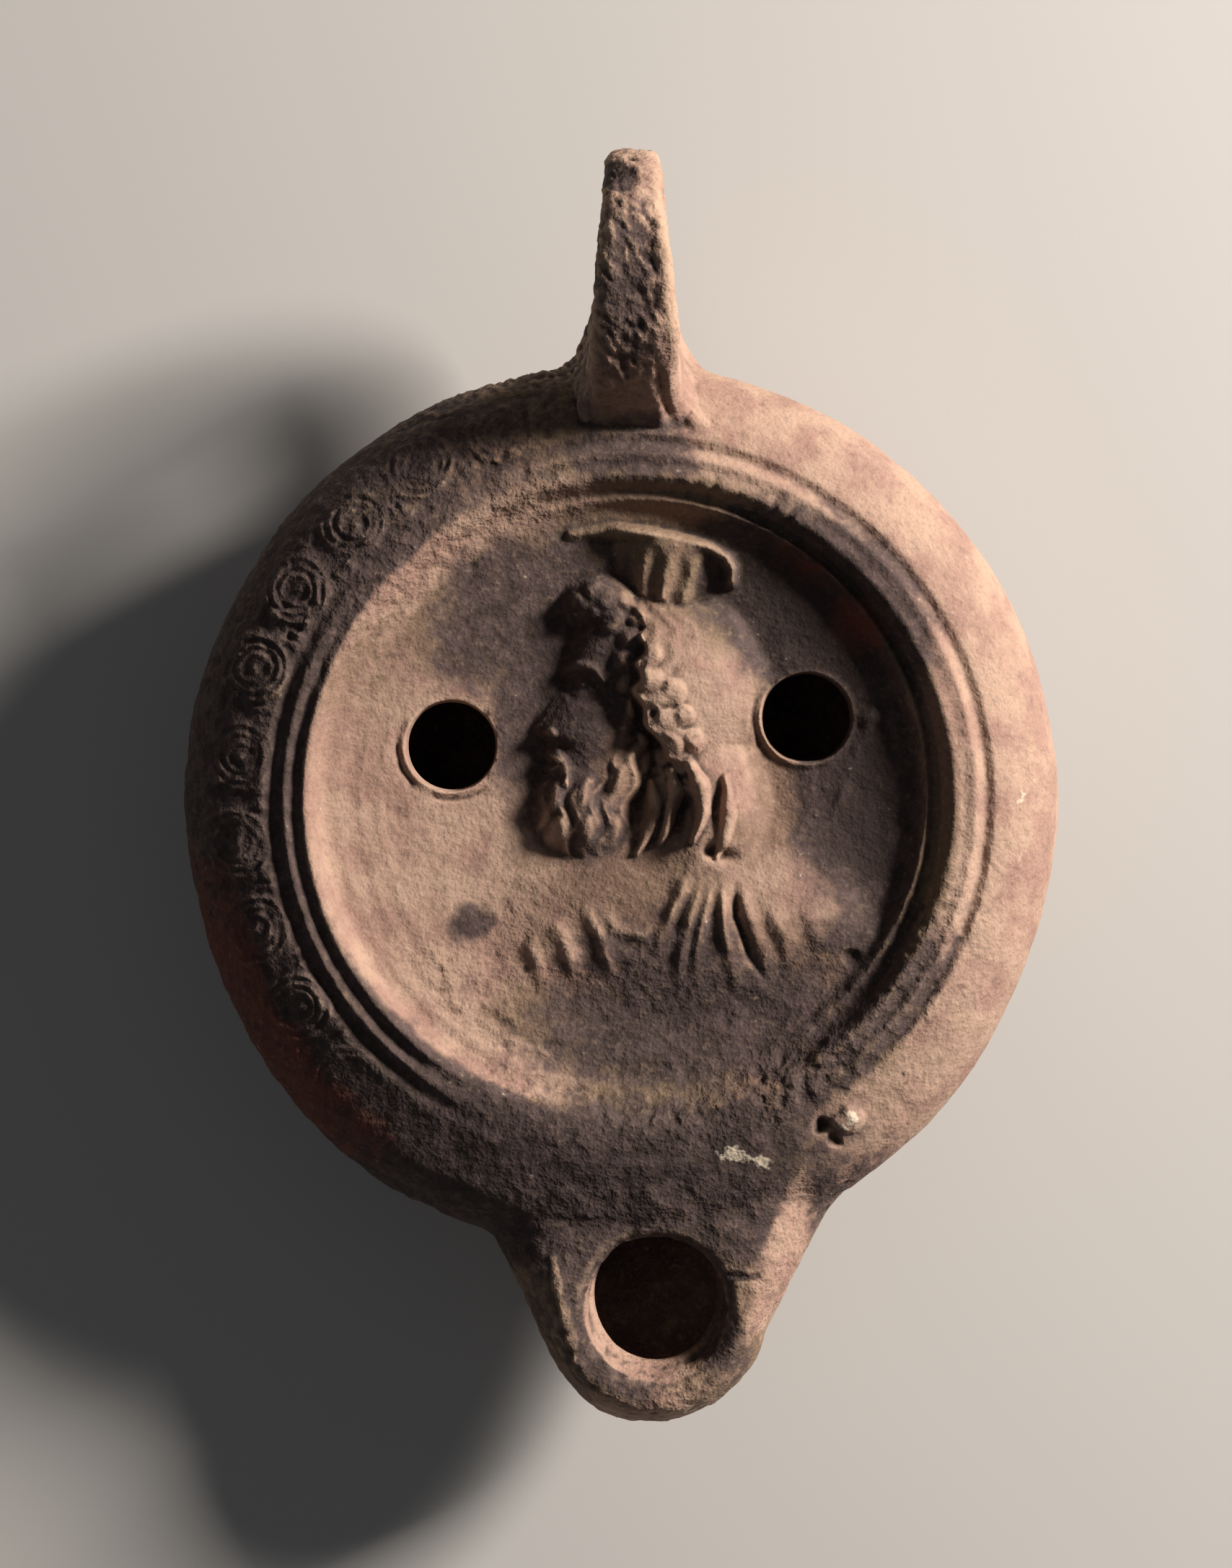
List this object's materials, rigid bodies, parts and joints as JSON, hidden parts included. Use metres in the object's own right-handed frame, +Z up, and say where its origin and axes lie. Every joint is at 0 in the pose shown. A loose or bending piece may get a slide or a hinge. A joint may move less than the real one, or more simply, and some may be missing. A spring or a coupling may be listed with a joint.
{
  "type": "roman oil lamp",
  "caption": "Mould-made terracotta oil lamp with a round body, sunken discus with a draped bust, short round nozzle and pierced ring handle.",
  "frame": {"origin": "middle of the flat underside, on the surface that the lamp stands on", "axes": "+Z up through the discus, +Y towards the ring handle, -Y towards the nozzle, +X to the right as seen from above with the handle at the top"},
  "size_m": [0.079, 0.1142, 0.0361],
  "materials": {
    "clay": "unglazed fired clay, matt and worn, with remains of a thin red-brown slip, dirt in the hollows and pale lime flecks"
  },
  "bodies": {
    "root": {"lamp": "clay"}
  },
  "joints": []
}
